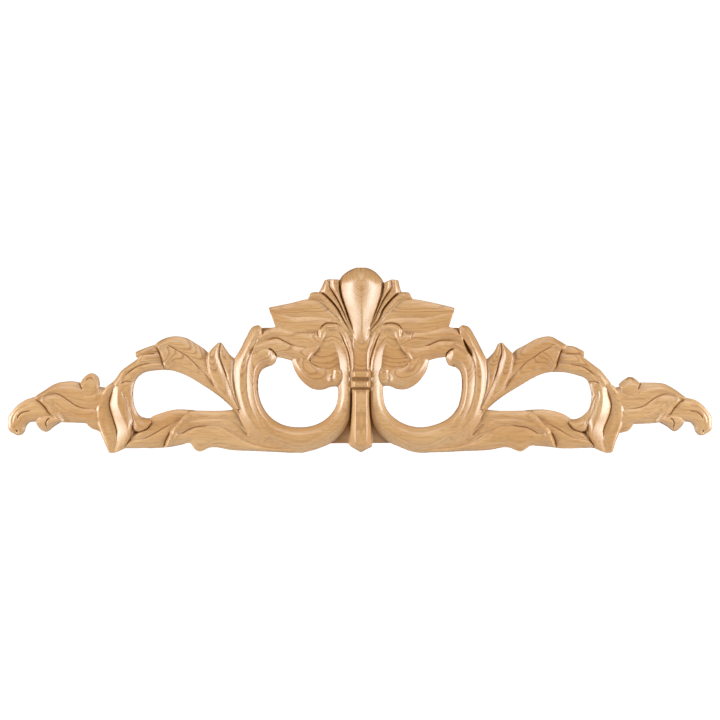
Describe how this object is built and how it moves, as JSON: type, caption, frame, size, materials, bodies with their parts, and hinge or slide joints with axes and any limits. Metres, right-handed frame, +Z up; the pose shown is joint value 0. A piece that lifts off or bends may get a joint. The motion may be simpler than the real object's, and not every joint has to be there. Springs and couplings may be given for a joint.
{
  "type": "carved wood onlay",
  "caption": "Carved wooden shell onlay for a mantel or head rail: fluted bulb, C scrolls and pierced acanthus leaves on a flat back.",
  "frame": {"origin": "on the flat back, in the neck under the bulb, midway along the length", "axes": "+X along the length to the viewer's right, +Y back into the panel it is fixed to, +Z up"},
  "size_m": [0.6092, 0.0217, 0.1604],
  "materials": {
    "wood": "bare light honey wood with a fine satin surface and horizontal grain"
  },
  "bodies": {
    "root": {"shell_onlay": "wood"}
  },
  "joints": []
}
